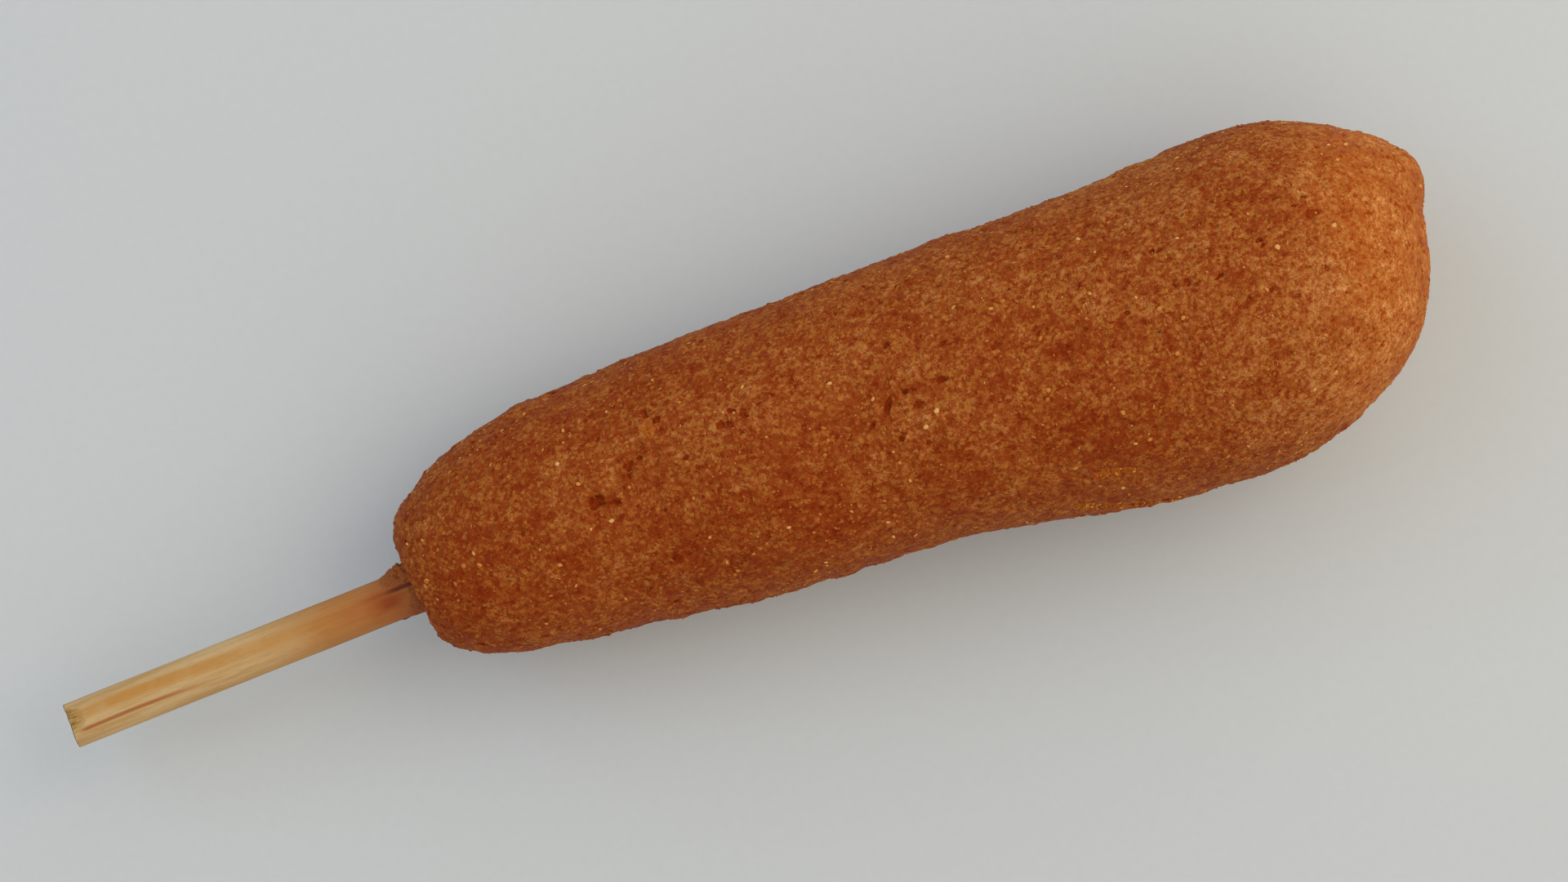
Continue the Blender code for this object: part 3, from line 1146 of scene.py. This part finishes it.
@dataclass
class Scatter:
    """Small joined lumps on the crust, all of one kind."""

    name: str
    material: bpy.types.Material
    form: LumpForm
    count: int
    seed: int
    small: float
    large: float
    crowd: float
    sunk: float = 0.55
    clustered: float = 0.5
    carried_marks: tuple[str, ...] = ()
    round_mark: str = ""
    batch: int = 60

    def build(self, crust: bpy.types.Object) -> bpy.types.Object:
        """Makes the lumps and joins them into one piece.

        Args:
            crust: What they sit on.

        Returns:
            The joined piece.
        """
        rng = random.Random(self.seed)
        mesh = crust.data
        weights = [self._weight(polygon) for polygon in mesh.polygons]
        if self.round_mark:
            mark = mesh.attributes[self.round_mark].data
            for polygon in mesh.polygons:
                share = mark[polygon.vertices[0]].value
                weights[polygon.index] *= max(0.0, share * (1.1 - share))
        chosen = rng.choices(range(len(mesh.polygons)), weights=weights, k=self.count)
        joined = bmesh.new()
        for start in range(0, len(chosen), self.batch):
            handful = self._handful(mesh, chosen[start : start + self.batch], rng)
            joined.from_mesh(handful)
            bpy.data.meshes.remove(handful)
        return new_piece(self.name, joined, self.material)

    def _handful(
        self,
        crust_mesh: bpy.types.Mesh,
        chosen: list[int],
        rng: random.Random,
    ) -> bpy.types.Mesh:
        """Makes a few of the lumps, because operators slow down as a mesh grows.

        Args:
            crust_mesh: What they sit on.
            chosen: The faces that they sit on.
            rng: The source of their chances.

        Returns:
            The lumps' mesh.
        """
        bm = bmesh.new()
        marks = [bm.verts.layers.float.new(name) for name in ("tone", "bare")]
        carried = {name: bm.verts.layers.float.new(name) for name in self.carried_marks}
        for index in chosen:
            polygon = crust_mesh.polygons[index]
            vertices = self._lump(bm)
            self._place(vertices, polygon, rng, marks)
            for name, layer in carried.items():
                value = crust_mesh.attributes[name].data[polygon.vertices[0]].value
                for vertex in vertices:
                    vertex[layer] = value
        handful = bpy.data.meshes.new("handful")
        bm.to_mesh(handful)
        bm.free()
        return handful

    def _lump(self, bm: bmesh.types.BMesh) -> list[bmesh.types.BMVert]:
        """Adds one lump of unit radius."""
        if self.form is LumpForm.CHIP:
            return bmesh.ops.create_icosphere(bm, subdivisions=1, radius=1.0)["verts"]
        made = bmesh.ops.create_uvsphere(bm, u_segments=8, v_segments=5, radius=1.0)
        return made["verts"]

    def _weight(self, polygon: bpy.types.MeshPolygon) -> float:
        """How likely a face of the crust is to carry a lump."""
        centre = polygon.center
        if STICK.clearance(centre) < 0.3 * MM or centre.z < 0.4 * MM:
            return 0.0
        gathered = smooth_step(0.5 + wobble(centre, 6 * MM, self.seed), 0.2, 0.9)
        return polygon.area * (1 - self.clustered + self.clustered * 2.5 * gathered)

    def _place(
        self,
        vertices: list[bmesh.types.BMVert],
        polygon: bpy.types.MeshPolygon,
        rng: random.Random,
        marks: list[bmesh.types.BMLayerItem],
    ) -> None:
        """Shapes one lump as an uneven grain and sinks it into the crust.

        Args:
            vertices: The lump's vertices, as a unit ball.
            polygon: The face that it sits on.
            rng: The source of its chances.
            marks: Where its tone and its bareness are kept.
        """
        size = self.small + (self.large - self.small) * rng.random() ** self.crowd
        width, height = rng.uniform(0.5, 0.95), rng.uniform(0.4, 0.7)
        shape = Vector((size, size * width, size * height)) / 2
        spin = Matrix.Rotation(rng.uniform(0, math.tau), 3, "Z")
        lean = Matrix.Rotation(rng.gauss(0, 0.3), 3, "X")
        turn = polygon.normal.to_track_quat("Z", "Y").to_matrix() @ lean @ spin
        centre = polygon.center - polygon.normal * shape.z * self.sunk
        tone = rng.random() ** 2.0
        lump_seed = rng.uniform(0, 50)
        for vertex in vertices:
            chipped = vertex.co * (1 + 0.35 * wobble(vertex.co, 0.9, lump_seed))
            offset = turn @ Vector((chipped.x * shape.x, chipped.y * shape.y, chipped.z * shape.z))
            vertex.co = centre + offset
            vertex[marks[0]] = tone
            vertex[marks[1]] = smooth_step(offset.dot(polygon.normal) / shape.z, 0.1, 1.0)


@dataclass(frozen=True)
class WoodFinish:
    """Plain birch: tan with fine long grain, a golden streak, and oil stains near the food."""

    pale: Colour = display_colour(194, 162, 114)
    tan: Colour = display_colour(180, 141, 88)
    golden: Colour = display_colour(180, 128, 62)
    red_line: Colour = display_colour(156, 88, 36)
    oiled: Colour = display_colour(166, 107, 50)
    stain: Colour = display_colour(152, 69, 20)
    blot: Colour = display_colour(128, 48, 12)
    # painted shade: near black-brown for the shade inside the split in the wood under the food's edge
    shaded_crack: Colour = display_colour(84, 34, 14)
    fresh: Colour = display_colour(196, 156, 88)
    fresh_deep: Colour = display_colour(170, 124, 60)
    slit: Colour = display_colour(112, 72, 34)
    # painted shade: dark brown-grey for the stick's end face and the ring at its edge, standing in for
    # the shade on the end that faces away from the light
    sawn: Colour = display_colour(96, 80, 62)
    filmed: Colour = display_colour(150, 82, 34)
    soaked: Colour = display_colour(124, 58, 20)

    def build(self) -> bpy.types.Material:
        """Makes the material, whose patterns run along the stick."""
        graph = FinishGraph("birch")
        turn = STICK.to_world.to_3x3()
        origin = STICK.to_world.translation
        plain = graph.local(origin, turn, Vector((1, 1, 1)))
        drawn = graph.local(origin, turn, Vector((16, 1, 1)))
        along, side, up = graph.axes(plain)[:3]
        level = graph.local(origin, turn, Vector((16, 1, 9)))
        fibres = graph.grain(0.16 * MM, 3.0, 0.7, place=drawn)
        bands = graph.grain(0.8 * MM, 3.0, 0.6, place=drawn)
        drift = graph.grain(24 * MM, 1.0, 0.5, place=plain)
        cloud = graph.grain(4 * MM, 2.0, 0.5, place=plain)
        short = graph.local(origin, turn, Vector((10, 1, 1)))
        pores = graph.grain(0.12 * MM, 1.0, 0.5, place=short)
        topside = graph.band(up, -0.8 * MM, 0.6 * MM)
        wander = graph.sum(side, graph.swing(drift, 0.9 * MM))

        colour = graph.blend(graph.band(bands, 0.36, 0.62), self.tan, self.pale)
        colour = graph.blend(graph.times(graph.band(fibres, 0.45, 0.7), 0.35), colour, self.tan)
        streak = graph.times(self._line(graph, wander, 0.75 * MM, 0.62 * MM), topside)
        streak = graph.times(streak, graph.spread(graph.band(cloud, 0.35, 0.6), 0.6, 1.0))
        colour = graph.blend(streak, colour, self.golden)
        line = graph.times(self._line(graph, wander, -1.0 * MM, 0.20 * MM), topside)
        line = graph.times(
            line,
            graph.band(along, 0.8 * MM, 2.6 * MM),
            graph.band(along, 22 * MM, 11 * MM),
            graph.spread(graph.band(bands, 0.35, 0.6), 0.5, 1.0),
        )
        colour = graph.blend(graph.times(line, 0.9), colour, self.red_line)

        colour = self._oil(graph, colour, along, side, bands, cloud)
        strands = graph.grain(0.22 * MM, 2.0, 0.6, place=level)
        fresh = graph.blend(graph.band(strands, 0.36, 0.62), self.fresh_deep, self.fresh)
        frays = graph.grain(0.12 * MM, 1.0, 0.5, place=level)
        fresh = graph.blend(graph.times(graph.band(frays, 0.60, 0.70), 0.4), fresh, self.slit)
        colour = graph.blend(graph.mark("fresh"), colour, fresh)
        colour = graph.blend(graph.times(graph.mark("slit"), 0.85), colour, self.slit)
        # painted shade: darkens the stick's end face and its edge ring as if they were shaded
        colour = graph.blend(graph.times(graph.mark("sawn"), 0.9), colour, self.sawn)
        colour = graph.blend(graph.times(graph.band(pores, 0.60, 0.72), 0.18), colour, self.slit)

        crumb = graph.grain(0.3 * MM, 3.0, 0.65, place=plain)
        batter = graph.blend(graph.band(crumb, 0.38, 0.60), self.soaked, self.filmed)
        colour = graph.blend(graph.times(graph.mark("film"), 0.75), colour, batter)
        colour = self._crack(graph, colour, along, side)

        graph.set(Base_Color=colour, Roughness=0.62, Specular_IOR_Level=0.15)
        crumbly = graph.times(crumb, graph.mark("film"))
        graph.relief(
            graph.sum(
                graph.times(fibres, 0.05),
                graph.times(bands, 0.05),
                graph.times(pores, -0.02),
                graph.times(crumbly, 0.12),
            )
        )
        return graph.material

    def _oil(
        self,
        graph: FinishGraph,
        colour: Socket,
        along: Socket,
        side: Socket,
        bands: Socket,
        cloud: Socket,
    ) -> Socket:
        """Darkens the wood towards the food, where oil has crept along the grain.

        Args:
            graph: The material being made.
            colour: The dry wood's colour.
            along: The place along the stick.
            side: The sideways place.
            bands: Long noise along the grain.
            cloud: Soft noise.

        Returns:
            The oiled wood's colour.
        """
        edge = STICK.entry
        crept = graph.sum(along, graph.swing(bands, 8 * MM), graph.swing(cloud, 3 * MM))
        oiled = graph.band(crept, edge - 22 * MM, edge - 8 * MM)
        colour = graph.blend(graph.times(oiled, 0.9), colour, self.oiled)
        off_side = graph.band(graph.away(side, -0.1 * MM), 2.2 * MM, 0.9 * MM)
        reach = graph.sum(crept, graph.times(off_side, 3.0 * MM))
        stained = graph.band(reach, edge - 8.0 * MM, edge + 1.5 * MM)
        streaked = graph.times(stained, graph.spread(graph.band(bands, 0.38, 0.6), 1.0, 0.6))
        colour = graph.blend(streaked, colour, self.stain)
        blot = graph.times(
            self._line(graph, side, -0.35 * MM, 0.65 * MM),
            graph.band(graph.away(along, edge - 2.5 * MM), 2.2 * MM, 0.2 * MM),
            graph.band(bands, 0.32, 0.55),
        )
        return graph.blend(graph.times(blot, 0.75), colour, self.blot)

    def _crack(
        self,
        graph: FinishGraph,
        colour: Socket,
        along: Socket,
        side: Socket,
    ) -> Socket:
        """Adds the split in the wood that runs under the food's edge, painted dark for the shade
        inside it.

        Args:
            graph: The material being made.
            colour: The colour without the crack.
            along: The place along the stick.
            side: The sideways place.

        Returns:
            The colour with the split and its painted shade.
        """
        edge = STICK.entry
        # painted shade: a dark line where the wood is split, led in by a fainter one in the stain's
        # colour; drawn in colour only, with no groove
        shaded_crack = self._line(graph, side, 0.85 * MM, 0.22 * MM)
        lead = graph.times(shaded_crack, graph.band(along, edge - 7.0 * MM, edge - 3.0 * MM))
        colour = graph.blend(graph.times(lead, 0.45), colour, self.blot)
        shaded_crack = graph.times(shaded_crack, graph.band(along, edge - 3.2 * MM, edge - 1.2 * MM))
        return graph.blend(graph.times(shaded_crack, 0.85), colour, self.shaded_crack)

    def _line(
        self,
        graph: FinishGraph,
        side: Socket,
        middle: float,
        half_width: float,
    ) -> Socket:
        """A soft line along the stick.

        Args:
            graph: The material being made.
            side: The sideways place.
            middle: Where the line's middle is.
            half_width: Half of its width.

        Returns:
            1 in the line's middle and 0 outside it.
        """
        return graph.band(graph.away(side, middle), half_width * 1.8, half_width * 0.3)


END_SLANT = 0.215
TEAR_MIDDLE = 0.55 * MM


@dataclass
class WoodenStick:
    """The round stick, with a saw-cut free end whose top is torn, long fine grain, and painted shade
    on its end face.
    """

    finish: WoodFinish
    segments: int = 144
    buried_chamfer: float = 1.2 * MM
    sawn_edge: float = 0.09 * MM
    slant: float = END_SLANT
    slant_reach: float = 2.95 * MM
    tear_length: float = 2.7 * MM
    tear_middle: float = TEAR_MIDDLE
    tear_slope: float = 0.42
    slits: tuple[tuple[float, float, float], ...] = (
        (0.08, 1.9, 0.17),
        (0.98, 1.2, 0.13),
        (1.36, 1.4, 0.11),
        (1.70, 0.9, 0.11),
        (-0.65, 0.8, 0.11),
        (0.52, 0.7, 0.10),
    )  # the side, length and half width of each, in millimetres
    film_ring: float = 0.2 * MM
    rounded_edge: float = 0.07 * MM
    end_roughness: float = 0.08 * MM

    def build(self) -> bpy.types.Object:
        """Makes the stick and hides the solid that it stands for."""
        bm = bmesh.new()
        turn = Matrix.Rotation(math.radians(90), 4, "Y")
        made = bmesh.ops.create_circle(
            bm, segments=self.segments, radius=STICK.radius, matrix=turn
        )
        start = list({edge for vertex in made["verts"] for edge in vertex.link_edges})
        edges = start
        for along in self._stations()[1:]:
            edges = self._next_ring(bm, edges, along=along)
        for vertex in {vertex for edge in edges for vertex in edge.verts}:
            shrink = 1 - self.buried_chamfer / STICK.radius
            vertex.co.y *= shrink
            vertex.co.z *= shrink
        bmesh.ops.contextual_create(bm, geom=edges)
        rim = start
        for shrink in (0.82, 0.78, 0.7, 0.6, 0.4):
            rim = self._next_ring(bm, rim, shrink=shrink)
        bmesh.ops.contextual_create(bm, geom=rim)
        bmesh.ops.recalc_face_normals(bm, faces=bm.faces)
        self._weather(bm)
        bmesh.ops.transform(bm, matrix=STICK.to_world, verts=bm.verts)
        piece = new_piece("wooden_stick", bm, self.finish.build())
        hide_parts("stick")
        return piece

    def _next_ring(
        self,
        bm: bmesh.types.BMesh,
        edges: list[bmesh.types.BMEdge],
        along: float | None = None,
        shrink: float = 1.0,
    ) -> list[bmesh.types.BMEdge]:
        """Extrudes a ring of edges.

        Args:
            bm: The mesh.
            edges: The ring.
            along: Where the new ring lies along the stick, or None to leave it level.
            shrink: How much narrower the new ring is.

        Returns:
            The new ring's edges.
        """
        ring, sides = extruded_ring(bm, edges)
        for vertex in ring:
            if along is not None:
                vertex.co.x = along
            vertex.co.y *= shrink
            vertex.co.z *= shrink
        return sides

    def _stations(self) -> list[float]:
        """Where the rings lie along the stick, close together at the saw-cut end."""
        close = [0.0, self.sawn_edge] + [0.11 * MM * k for k in range(2, 27)]
        shown = [close[-1] + 0.9 * MM * k for k in range(1, 42)]
        filmed = [shown[-1] + self.film_ring * k for k in range(1, 41)]
        left = STICK.length - filmed[-1]
        hidden = [filmed[-1] + left * k / 12 for k in range(1, 12)]
        ends = [STICK.length - self.buried_chamfer, STICK.length]
        return close + shown + filmed + hidden + ends

    def _film(self, point: Vector) -> float:
        """How thick the film of batter is that has crept onto the stick, in millimetres."""
        angle = math.atan2(point.z, point.y)
        before_edge = point.x - STICK.entry - STICK.drawn_back(angle)
        thin = 0.14 * smooth_step(before_edge, -2.9 * MM, -1.1 * MM)
        wedge = 0.80 * smooth_step(STICK.lip_side(angle), 0.74, 0.98)
        wedge *= smooth_step(point.x - STICK.entry, -3.6 * MM, -0.8 * MM) ** 1.3
        uneven = 0.9 + 0.7 * wobble(point, 0.75 * MM, 33) + 0.4 * wobble(point, 0.35 * MM, 34)
        buried = smooth_step(point.x - STICK.entry, 3.0 * MM, 2.2 * MM)
        return max(thin, wedge) * max(0.0, uneven) * buried

    def _tear(self, point: Vector) -> float:
        """How far a point on the stick's top is inside the torn patch, in metres."""
        off_middle = abs(point.y - self.tear_middle)
        tongue = self.tear_length * (1 - 0.75 * smooth_step(off_middle, 0.9 * MM, 1.9 * MM))
        strand = Vector((0, point.y, 0))
        jag = 0.30 * MM * wobble(strand, 0.45 * MM, 3) + 0.22 * MM * wobble(strand, 0.18 * MM, 4)
        return max(0.0, tongue + jag - point.x) if off_middle < 1.9 * MM else 0.0

    def _slit(self, point: Vector) -> float:
        """How deep a point on the torn patch is inside one of its slits, up to 1."""
        deepest = 0.0
        for side, length, half_width in self.slits:
            off = abs(point.y - (side + 0.06 * point.x / MM) * MM)
            inside = smooth_step(off, half_width * MM, 0.3 * half_width * MM)
            deepest = max(deepest, inside * smooth_step(point.x, length * MM, 0.6 * length * MM))
        return deepest

    def _weather(self, bm: bmesh.types.BMesh) -> None:
        """Gives the stick its grooves, its slanting torn end and its rough end grain."""
        names = ("fresh", "slit", "sawn", "film")
        marks = {name: bm.verts.layers.float.new(name) for name in names}
        for vertex in bm.verts:
            point = vertex.co.copy()
            fibre = Vector((point.x * 0.06, point.y, point.z))
            groove = 0.03 * wobble(fibre, 0.5 * MM, 1) + 0.03 * wobble(fibre, 1.6 * MM, 2)
            outward = Vector((0, point.y, point.z))
            on_side = outward.length > STICK.radius * 0.95
            if on_side:
                film = self._film(point)
                vertex[marks["film"]] = smooth_step(film, 0.02, 0.10)
                point += outward.normalized() * (groove + film) * MM
            # painted shade: the end face, and the ring at its edge in patches, are marked for the dark
            # brown-grey that stands in for shade on the end
            if point.x < 1.5 * self.sawn_edge:
                patchy_end_shade = smooth_step(wobble(outward, 0.6 * MM, 9), -0.35, 0.1)
                vertex[marks["sawn"]] = patchy_end_shade if point.x > 0.01 * MM else 1.0
                if on_side and point.x < 0.01 * MM:
                    point -= outward.normalized() * self.rounded_edge
                point.x += self.end_roughness * (0.6 + wobble(outward, 0.35 * MM, 4))
            cut_back = self.slant * max(0.0, point.z + 0.4 * MM)
            point.x += cut_back * max(0.0, 1 - point.x / self.slant_reach)
            torn = self._tear(point) if point.z > 0 else 0.0
            if torn > 0:
                strand = Vector((point.x * 0.06, point.y, 0))
                slit = self._slit(point)
                well_in = smooth_step(torn, 0.0, 0.25 * MM)
                vertex[marks["fresh"]] = smooth_step(torn, 0.0, 1.2 * MM)
                vertex[marks["slit"]] = slit * well_in
                depth = self.tear_slope * torn
                depth += (0.14 * slit + 0.04 * wobble(strand, 0.2 * MM, 5)) * MM * well_in
                lowered = max(0.2 * MM, point.z - depth)
                lean = max(0.0, 1 - point.x / self.slant_reach)
                point.x -= self.slant * (point.z - lowered) * lean
                point.z = lowered
            vertex.co = point


@dataclass
class EndSplinters:
    """Thin fibres that stand up from the torn end of the stick."""

    finish: WoodFinish
    count: int = 13
    seed: int = 21

    def build(self) -> bpy.types.Object:
        """Makes the fibres and joins them into one piece."""
        rng = random.Random(self.seed)
        bm = bmesh.new()
        marks = {name: bm.verts.layers.float.new(name) for name in ("fresh", "slit", "sawn")}
        for _ in range(self.count):
            length = rng.uniform(0.5, 1.5) * MM
            width = rng.uniform(0.05, 0.11) * MM
            side = rng.uniform(-1.0, 2.1) * MM
            height = math.sqrt(STICK.radius**2 - side**2) - rng.uniform(0.0, 0.35) * MM
            sunk = 0.25 * smooth_step(abs(side - TEAR_MIDDLE), 1.8 * MM, 0.6 * MM) * MM
            start = END_SLANT * height + rng.uniform(0.15, 1.0) * MM
            place = Vector((start + length / 2, side, height - sunk))
            turn = Matrix.Rotation(rng.gauss(0, 0.13), 4, "Z") @ Matrix.Rotation(
                rng.gauss(-0.08, 0.08), 4, "Y"
            )
            made = bmesh.ops.create_cone(
                bm,
                cap_ends=True,
                segments=5,
                radius1=width,
                radius2=width * 0.25,
                depth=length,
                matrix=STICK.to_world
                @ Matrix.Translation(place)
                @ turn
                @ Matrix.Rotation(math.radians(rng.choice((-90, 90))), 4, "Y"),
            )
            for vertex in made["verts"]:
                vertex[marks["fresh"]] = rng.uniform(0.0, 0.8)
        return new_piece("end_splinters", bm, self.finish.build())


@dataclass(frozen=True)
class StrayCrumb:
    """A dark crumb of batter that clings to the stick's side, just before the food."""

    finish: SpeckFinish
    before_food: float = 1.9 * MM
    angle: float = math.radians(186)
    half_size: Vector = Vector((0.62, 0.22, 0.30)) * MM
    seed: int = 61

    def build(self) -> bpy.types.Object:
        """Makes the crumb."""
        bm = bmesh.new()
        made = bmesh.ops.create_icosphere(bm, subdivisions=3, radius=1.0)
        turn = Matrix.Rotation(self.angle, 4, "X")
        place = turn @ Vector((0, STICK.radius - 0.15 * self.half_size.y, 0))
        place.x = STICK.entry - self.before_food
        for vertex in made["verts"]:
            uneven = vertex.co * (1 + 0.45 * wobble(vertex.co, 0.8, self.seed))
            offset = Vector(size * axis for size, axis in zip(self.half_size, uneven))
            vertex.co = STICK.to_world @ (place + turn @ offset)
        return new_piece("stray_crumb", bm, self.finish.build())


@dataclass(frozen=True)
class SoftLamp:
    """A broad round lamp, a metre from the food."""

    name: str
    bearing: float
    power: float
    tint: tuple[float, float, float]
    climb: float = 45.0
    size: float = 0.8

    def build(self) -> None:
        """Hangs the lamp and aims it at the food."""
        light = bpy.data.lights.new(self.name, "AREA")
        light.shape = "DISK"
        light.size = self.size
        light.energy = self.power
        light.color = self.tint
        holder = bpy.data.objects.new(self.name, light)
        bpy.context.scene.collection.objects.link(holder)
        bearing, climb = math.radians(self.bearing), math.radians(self.climb)
        holder.location = (
            math.cos(bearing) * math.cos(climb),
            math.sin(bearing) * math.cos(climb),
            math.sin(climb),
        )
        holder.rotation_euler = (-holder.location).to_track_quat("-Z", "Y").to_euler()


@dataclass
class PaleStage:
    """A plain pale table top under soft light, and the camera above it."""

    lamps: tuple[SoftLamp, ...] = (
        SoftLamp("warm_side", 0, 3.4, (1.0, 0.90, 0.70)),
        SoftLamp("warm_back", 45, 1.3, (1.0, 0.93, 0.83)),
        SoftLamp("warm_front", 300, 0.8, (1.0, 0.93, 0.83)),
        SoftLamp("cool_side", 135, 2.4, (0.25, 0.58, 1.0)),
    )
    table_tone: Colour = display_colour(192, 194, 193)
    camera_height: float = 400 * MM
    lens: float = 74.5
    roll: float = math.radians(21.69)

    def build(self) -> None:
        """Makes the table top, the lights and the camera."""
        self._table_top()
        self._light()
        self._camera()

    def _table_top(self) -> None:
        """A wide matte surface under the food."""
        graph = FinishGraph("pale_table")
        speckle = graph.grain(1.2 * MM, 3.0, 0.6)
        darker = tuple(channel * 0.94 for channel in self.table_tone[:3]) + (1.0,)
        graph.set(
            Base_Color=graph.blend(speckle, self.table_tone, darker), Roughness=0.85
        )
        bm = bmesh.new()
        bmesh.ops.create_grid(bm, x_segments=1, y_segments=1, size=3.0)
        mesh = bpy.data.meshes.new("table_top")
        bm.to_mesh(mesh)
        bm.free()
        mesh.materials.append(graph.material)
        table = bpy.data.objects.new("table_top", mesh)
        bpy.context.scene.collection.objects.link(table)
        table.location.z = -0.02 * MM

    def _light(self) -> None:
        """A pale surrounding light, and lamps that are warm at the tip and cool at the stick."""
        scene = bpy.context.scene
        world = bpy.data.worlds.new("studio")
        world.use_nodes = True
        background = world.node_tree.nodes["Background"]
        background.inputs["Color"].default_value = (1.0, 0.975, 0.95, 1.0)
        background.inputs["Strength"].default_value = 0.70
        scene.world = world
        for lamp in self.lamps:
            lamp.build()

    def _camera(self) -> None:
        """A camera straight above, turned so that the stick comes in from the lower left."""
        low, high = CAD_BOX
        middle = (low + high) / 2
        camera = bpy.data.cameras.new("camera")
        camera.lens = self.lens
        camera.sensor_width = 36.0
        camera.clip_start = 0.01
        holder = bpy.data.objects.new("camera", camera)
        bpy.context.scene.collection.objects.link(holder)
        holder.location = (middle.x + 5.6 * MM, middle.y + 4.2 * MM, self.camera_height)
        holder.rotation_euler = (0, 0, -self.roll)
        bpy.context.scene.camera = holder
        bpy.context.scene.view_settings.view_transform = "Standard"


def report(piece: bpy.types.Object) -> None:
    """Logs a piece's name and how many faces it has."""
    LOG.info("%s: %d faces", piece.name, len(piece.data.polygons))


def main() -> None:
    """Builds the corn dog and its stage in order."""
    logging.basicConfig(level=logging.INFO, format="%(message)s")
    crust = BatterCrust(CrustFinish()).build()
    report(crust)
    for scatter in (
        Scatter(
            "cornmeal_grits", GrainFinish().build(), LumpForm.NUGGET,
            count=2500, seed=3, small=0.22 * MM, large=0.85 * MM, crowd=2.2,
        ),
        Scatter(
            "crust_crumbs", crust.data.materials[0], LumpForm.CHIP,
            count=8500, seed=9, small=0.25 * MM, large=0.75 * MM, crowd=1.6, sunk=0.3,
            clustered=0.7, carried_marks=("dryness", "tip", "pit", "golden"),
        ),
        Scatter(
            "golden_flakes", GOLDEN_FLAKES.build(), LumpForm.CHIP,
            count=360, seed=7, small=0.2 * MM, large=0.65 * MM, crowd=1.6, sunk=0.3,
            clustered=0.0, round_mark="torn",
        ),
        Scatter(
            "scorched_specks", SpeckFinish().build(), LumpForm.CHIP,
            count=110, seed=5, small=0.15 * MM, large=0.5 * MM, crowd=2.0, sunk=0.6,
        ),
    ):
        report(scatter.build(crust))
    report(WoodenStick(WoodFinish()).build())
    report(EndSplinters(WoodFinish()).build())
    report(StrayCrumb(SpeckFinish(dark=display_colour(84, 44, 26))).build())
    PaleStage().build()


if __name__ == "__main__":
    main()
